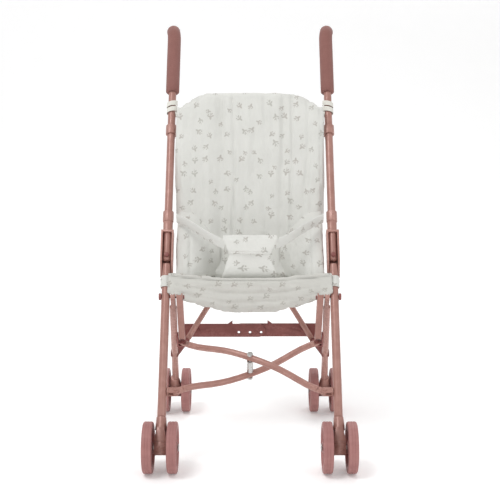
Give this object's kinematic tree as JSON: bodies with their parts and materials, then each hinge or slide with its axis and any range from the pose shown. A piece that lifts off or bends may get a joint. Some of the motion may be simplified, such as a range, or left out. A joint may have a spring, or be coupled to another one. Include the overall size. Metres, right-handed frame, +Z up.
{
  "type": "doll stroller",
  "caption": "Umbrella-fold doll stroller: tube frame with hooked grips, double wheels, folding cross bars and a padded fabric seat.",
  "frame": {"origin": "middle of the bounding box seen from above, on the floor under the wheels", "axes": "+X across to the stroller's right as seen from the front, +Y towards the rear and the handles, +Z up"},
  "size_m": [0.2748, 0.4084, 0.5759],
  "materials": {
    "frame_paint": "satin dusty-rose powder coat",
    "brace_paint": "satin darker rose coat",
    "wheel_plastic": "matte moulded plastic",
    "grip_foam": "soft matte foam rubber",
    "zinc": "bright zinc plate",
    "fabric": "off-white padded cotton with small sprigs"
  },
  "bodies": {
    "left_rear_leg": {"left_rear_tube": "frame_paint", "left_rear_block": "frame_paint", "left_lock_gusset": "brace_paint"},
    "right_rear_leg": {"right_rear_tube": "frame_paint", "right_rear_block": "frame_paint", "right_lock_gusset": "brace_paint"},
    "left_frame": {"left_front_block": "frame_paint", "left_front_tube": "frame_paint", "left_push_tube": "frame_paint", "left_mid_joint": "frame_paint", "left_mid_screw": "zinc", "left_pivot_bolt": "brace_paint", "left_grip": "grip_foam", "left_back_lug": "brace_paint", "left_tie_loop": "fabric", "seat_back_pad": "fabric", "seat_pan_pad": "fabric", "left_side_panel": "fabric", "right_side_panel": "fabric", "left_waist_belt": "fabric", "right_waist_belt": "fabric", "crotch_strap": "fabric", "seat_front_band": "fabric"},
    "left_front_wheels": {"left_front_wheel_outer": "wheel_plastic", "left_front_wheel_inner": "wheel_plastic", "left_front_axle": "zinc"},
    "left_rear_wheels": {"left_rear_wheel_outer": "wheel_plastic", "left_rear_wheel_inner": "wheel_plastic", "left_rear_axle": "zinc"},
    "left_strut": {"left_strut": "frame_paint"},
    "left_strut_clevis": {"left_strut_clevis": "brace_paint"},
    "left_low_bracket": {"left_low_bracket": "frame_paint"},
    "left_back_clevis": {"left_back_clevis": "brace_paint"},
    "lock_bar_left": {"lock_bar_left": "brace_paint"},
    "right_frame": {"right_front_block": "frame_paint", "right_front_tube": "frame_paint", "right_push_tube": "frame_paint", "right_mid_joint": "frame_paint", "right_mid_screw": "zinc", "right_pivot_bolt": "brace_paint", "right_grip": "grip_foam", "right_back_lug": "brace_paint", "right_tie_loop": "fabric"},
    "right_front_wheels": {"right_front_wheel_outer": "wheel_plastic", "right_front_wheel_inner": "wheel_plastic", "right_front_axle": "zinc"},
    "right_rear_wheels": {"right_rear_wheel_outer": "wheel_plastic", "right_rear_wheel_inner": "wheel_plastic", "right_rear_axle": "zinc"},
    "right_strut": {"right_strut": "frame_paint"},
    "right_strut_clevis": {"right_strut_clevis": "brace_paint"},
    "right_low_bracket": {"right_low_bracket": "frame_paint"},
    "right_back_clevis": {"right_back_clevis": "brace_paint"},
    "lock_bar_right": {"lock_bar_right": "brace_paint"},
    "back_bar_left": {"back_bar_left": "frame_paint", "back_rivet": "zinc"},
    "back_bar_right": {"back_bar_right": "frame_paint"},
    "lower_bar_under": {"lower_bar_under": "frame_paint", "lower_bolt": "zinc"},
    "lower_bar_upper": {"lower_bar_upper": "frame_paint"}
  },
  "joints": [
    {"name": "fold", "type": "hinge", "parent": "left_rear_leg", "child": "left_frame", "pos_m": [-0.1135, -0.06101, 0.20566], "axis": [1, 0, 0], "range_deg": [0, 16.21], "deforming": ["seat_back_pad", "seat_pan_pad", "left_side_panel", "right_side_panel", "left_waist_belt", "right_waist_belt", "crotch_strap", "seat_front_band"]},
    {"name": "left_bracket_tilt", "type": "hinge", "parent": "left_frame", "child": "left_low_bracket", "pos_m": [-0.0965, -0.13194, 0.09433], "axis": [1, 0, 0], "range_deg": [-1.44, 0]},
    {"name": "left_bar_turn", "type": "hinge", "parent": "left_low_bracket", "child": "lower_bar_under", "pos_m": [-0.0965, -0.13194, 0.09433], "axis": [0, -0.4796, 0.8775], "range_deg": [0, 19.24]},
    {"name": "lower_cross", "type": "hinge", "parent": "lower_bar_under", "child": "lower_bar_upper", "pos_m": [0, -0.08957, 0.11748], "axis": [0, -0.4796, 0.8775], "range_deg": [-38.46, 0]},
    {"name": "right_bracket_turn", "type": "hinge", "parent": "lower_bar_upper", "child": "right_low_bracket", "pos_m": [0.0965, -0.13194, 0.09433], "axis": [0, -0.4796, 0.8775], "range_deg": [0, 19.24]},
    {"name": "right_bracket_tilt", "type": "hinge", "parent": "right_low_bracket", "child": "right_frame", "pos_m": [0.1135, -0.13194, 0.09433], "axis": [1, 0, 0], "range_deg": [0, 1.44]},
    {"name": "right_leg_fold", "type": "hinge", "parent": "right_frame", "child": "right_rear_leg", "pos_m": [0.1135, -0.06101, 0.20566], "axis": [1, 0, 0], "range_deg": [-16.23, 0]},
    {"name": "left_strut_swing", "type": "hinge", "parent": "left_frame", "child": "left_strut", "pos_m": [-0.1135, -0.06101, 0.20566], "axis": [1, 0, 0], "range_deg": [0, 47.63]},
    {"name": "right_strut_swing", "type": "hinge", "parent": "right_frame", "child": "right_strut", "pos_m": [0.1135, -0.06101, 0.20566], "axis": [1, 0, 0], "range_deg": [0, 47.63]},
    {"name": "left_clevis_turn", "type": "hinge", "parent": "lower_bar_upper", "child": "left_strut_clevis", "pos_m": [-0.0915, -0.0494, 0.13943], "axis": [0, -0.4796, 0.8775], "range_deg": [0, 19.24]},
    {"name": "right_clevis_turn", "type": "hinge", "parent": "lower_bar_under", "child": "right_strut_clevis", "pos_m": [0.0915, -0.0494, 0.13943], "axis": [0, -0.4796, 0.8775], "range_deg": [-19.24, 0]},
    {"name": "left_back_tilt", "type": "hinge", "parent": "left_rear_leg", "child": "left_back_clevis", "pos_m": [-0.09, 0.00696, 0.12827], "axis": [1, 0, 0], "range_deg": [0, 12.84]},
    {"name": "left_back_turn", "type": "hinge", "parent": "left_back_clevis", "child": "back_bar_left", "pos_m": [-0.09, 0.00696, 0.12827], "axis": [0, -0.9615, 0.2748], "range_deg": [0, 8.02]},
    {"name": "left_lock_fold", "type": "hinge", "parent": "left_rear_leg", "child": "lock_bar_left", "pos_m": [-0.076, 0.02534, 0.14], "axis": [0, 1, 0], "range_deg": [-40.7, 0]},
    {"name": "left_front_wheel_spin", "type": "hinge", "parent": "left_frame", "child": "left_front_wheels", "pos_m": [-0.1135, -0.17116, 0.03276], "axis": [1, 0, 0], "continuous": true},
    {"name": "left_rear_wheel_spin", "type": "hinge", "parent": "left_rear_leg", "child": "left_rear_wheels", "pos_m": [-0.1115, 0.09084, 0.03276], "axis": [1, 0, 0], "continuous": true},
    {"name": "right_back_tilt", "type": "hinge", "parent": "right_rear_leg", "child": "right_back_clevis", "pos_m": [0.09, 0.00696, 0.12827], "axis": [1, 0, 0], "range_deg": [0, 12.84]},
    {"name": "right_back_turn", "type": "hinge", "parent": "right_back_clevis", "child": "back_bar_right", "pos_m": [0.09, 0.00696, 0.12827], "axis": [0, -0.9615, 0.2748], "range_deg": [-8.02, 0]},
    {"name": "right_lock_fold", "type": "hinge", "parent": "right_rear_leg", "child": "lock_bar_right", "pos_m": [0.076, 0.02534, 0.14], "axis": [0, 1, 0], "range_deg": [0, 40.7]},
    {"name": "right_front_wheel_spin", "type": "hinge", "parent": "right_frame", "child": "right_front_wheels", "pos_m": [0.1135, -0.17116, 0.03276], "axis": [1, 0, 0], "continuous": true},
    {"name": "right_rear_wheel_spin", "type": "hinge", "parent": "right_rear_leg", "child": "right_rear_wheels", "pos_m": [0.1115, 0.09084, 0.03276], "axis": [1, 0, 0], "continuous": true}
  ],
  "couplings": [
    {"joint": "left_bracket_tilt", "follows": "fold", "ratio": -0.08745},
    {"joint": "left_bar_turn", "follows": "fold", "ratio": 1.1855},
    {"joint": "lower_cross", "follows": "fold", "ratio": -2.3709},
    {"joint": "right_bracket_turn", "follows": "fold", "ratio": 1.1855},
    {"joint": "right_bracket_tilt", "follows": "fold", "ratio": 0.08745},
    {"joint": "right_leg_fold", "follows": "fold", "ratio": -1},
    {"joint": "left_strut_swing", "follows": "fold", "ratio": 2.937},
    {"joint": "right_strut_swing", "follows": "fold", "ratio": 2.937},
    {"joint": "left_clevis_turn", "follows": "fold", "ratio": 1.1855},
    {"joint": "right_clevis_turn", "follows": "fold", "ratio": -1.1855},
    {"joint": "left_back_tilt", "follows": "fold", "ratio": 0.79077},
    {"joint": "left_back_turn", "follows": "fold", "ratio": 0.49343},
    {"joint": "left_lock_fold", "follows": "fold", "ratio": -2.5094},
    {"joint": "right_back_tilt", "follows": "fold", "ratio": 0.79077},
    {"joint": "right_back_turn", "follows": "fold", "ratio": -0.49343},
    {"joint": "right_lock_fold", "follows": "fold", "ratio": 2.5094}
  ]
}
